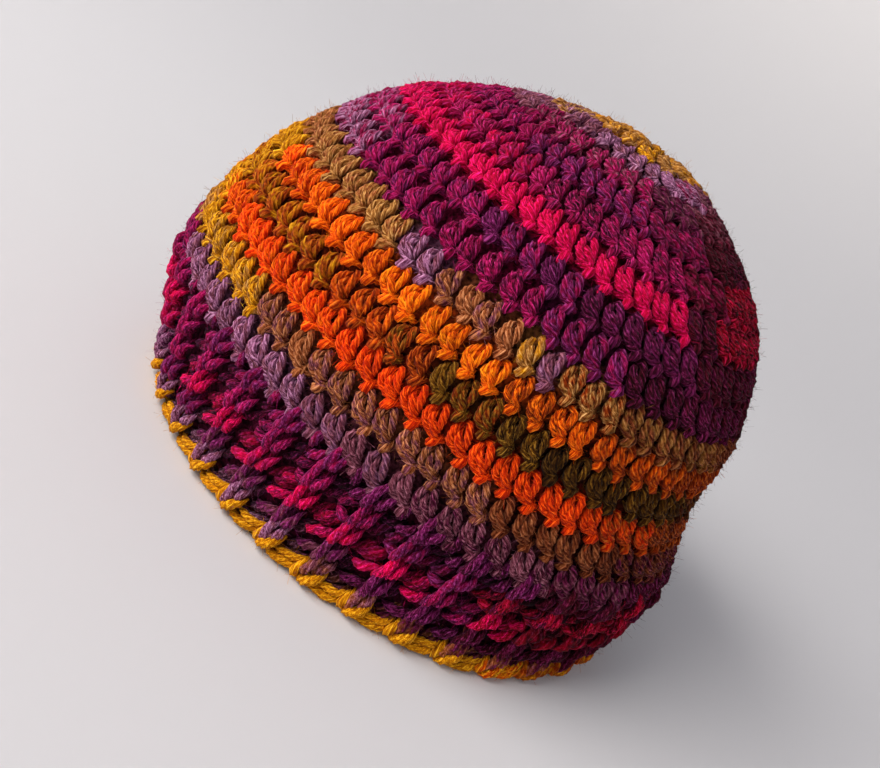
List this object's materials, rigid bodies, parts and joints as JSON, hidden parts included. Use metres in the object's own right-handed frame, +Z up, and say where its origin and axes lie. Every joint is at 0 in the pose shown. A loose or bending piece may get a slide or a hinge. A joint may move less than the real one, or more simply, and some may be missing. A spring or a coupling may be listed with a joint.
{
  "type": "crochet beanie",
  "caption": "Crocheted wool beanie in striped orange, olive, tan, magenta and purple, with a ribbed band and a mustard edge, standing on its rim.",
  "frame": {"origin": "centre of the beanie's box at the surface that its rim stands on", "axes": "+Z up through the crown, -Y toward the wearer's front, +X toward the wearer's left"},
  "size_m": [0.1646, 0.2127, 0.1595],
  "materials": {
    "crown_wool": "crocheted wool in magenta, pink and dark purple rounds",
    "sides_wool": "crocheted wool in orange, olive, tan and lavender rounds",
    "band_wool": "ribbed crocheted wool, purple with hot pink",
    "edge_wool": "mustard crocheted chain edge"
  },
  "bodies": {
    "root": {"crown": "crown_wool", "sides": "sides_wool", "ribbed_band": "band_wool", "rim_edge": "edge_wool"}
  },
  "joints": []
}
